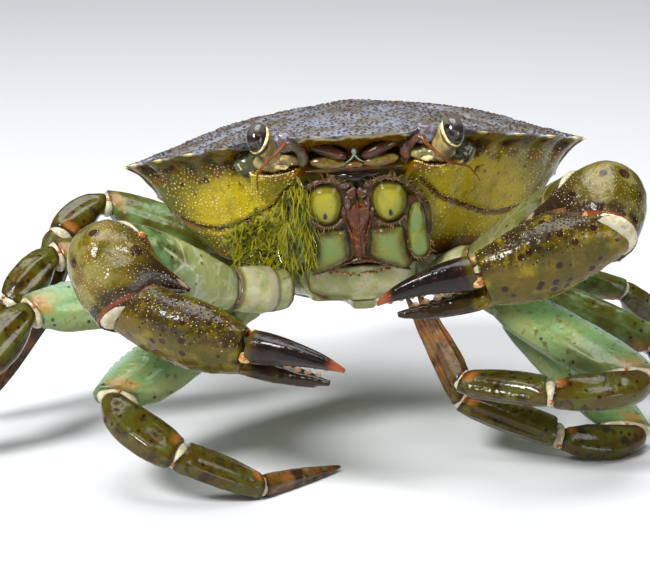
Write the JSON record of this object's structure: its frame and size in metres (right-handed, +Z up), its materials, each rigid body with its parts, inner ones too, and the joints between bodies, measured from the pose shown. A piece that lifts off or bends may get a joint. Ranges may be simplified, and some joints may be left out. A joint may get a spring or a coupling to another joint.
{
  "type": "shore crab",
  "caption": "Life-size still model of a shore crab standing on its walking legs, claws folded in front of its broad toothed shell.",
  "frame": {"origin": "centre of the bounding box, on the floor under the crab", "axes": "+Z up from the floor, -Y the way the crab faces, +X to the crab's left"},
  "size_m": [0.1538, 0.079, 0.0495],
  "materials": {
    "carapace_shell": "wet gloss",
    "claw_shell": "wet gloss",
    "leg_shell": "wet gloss",
    "claw_finger_shell": "gloss",
    "pale_shell": "satin",
    "mouth_shell": "wet gloss",
    "eye_cornea": "gloss",
    "eyestalk_shell": "satin",
    "feeler_shell": "satin"
  },
  "bodies": {
    "root": {"abdomen": "pale_shell", "carapace": "carapace_shell", "epistome": "feeler_shell", "left_antenna": "feeler_shell", "left_antennule": "feeler_shell", "left_claw_base": "pale_shell", "left_claw_carpus": "claw_shell", "left_claw_finger": "claw_finger_shell", "left_claw_merus": "leg_shell", "left_claw_palm": "claw_shell", "left_cornea": "eye_cornea", "left_eyestalk": "eyestalk_shell", "left_leg_2_carpus": "leg_shell", "left_leg_2_dactyl": "leg_shell", "left_leg_2_merus": "leg_shell", "left_leg_2_propodus": "leg_shell", "left_leg_3_carpus": "leg_shell", "left_leg_3_dactyl": "leg_shell", "left_leg_3_merus": "leg_shell", "left_leg_3_propodus": "leg_shell", "left_leg_4_carpus": "leg_shell", "left_leg_4_dactyl": "leg_shell", "left_leg_4_merus": "leg_shell", "left_leg_4_propodus": "leg_shell", "left_leg_5_carpus": "leg_shell", "left_leg_5_dactyl": "leg_shell", "left_leg_5_merus": "leg_shell", "left_leg_5_propodus": "leg_shell", "left_maxilliped": "mouth_shell", "right_antenna": "feeler_shell", "right_antennule": "feeler_shell", "right_claw_base": "pale_shell", "right_claw_carpus": "claw_shell", "right_claw_finger": "claw_finger_shell", "right_claw_merus": "leg_shell", "right_claw_palm": "claw_shell", "right_cornea": "eye_cornea", "right_eyestalk": "eyestalk_shell", "right_leg_2_carpus": "leg_shell", "right_leg_2_dactyl": "leg_shell", "right_leg_2_merus": "leg_shell", "right_leg_2_propodus": "leg_shell", "right_leg_3_carpus": "leg_shell", "right_leg_3_dactyl": "leg_shell", "right_leg_3_merus": "leg_shell", "right_leg_3_propodus": "leg_shell", "right_leg_4_carpus": "leg_shell", "right_leg_4_dactyl": "leg_shell", "right_leg_4_merus": "leg_shell", "right_leg_4_propodus": "leg_shell", "right_leg_5_carpus": "leg_shell", "right_leg_5_dactyl": "leg_shell", "right_leg_5_merus": "leg_shell", "right_leg_5_propodus": "leg_shell", "right_maxilliped": "mouth_shell", "sternum": "pale_shell"}
  },
  "joints": []
}
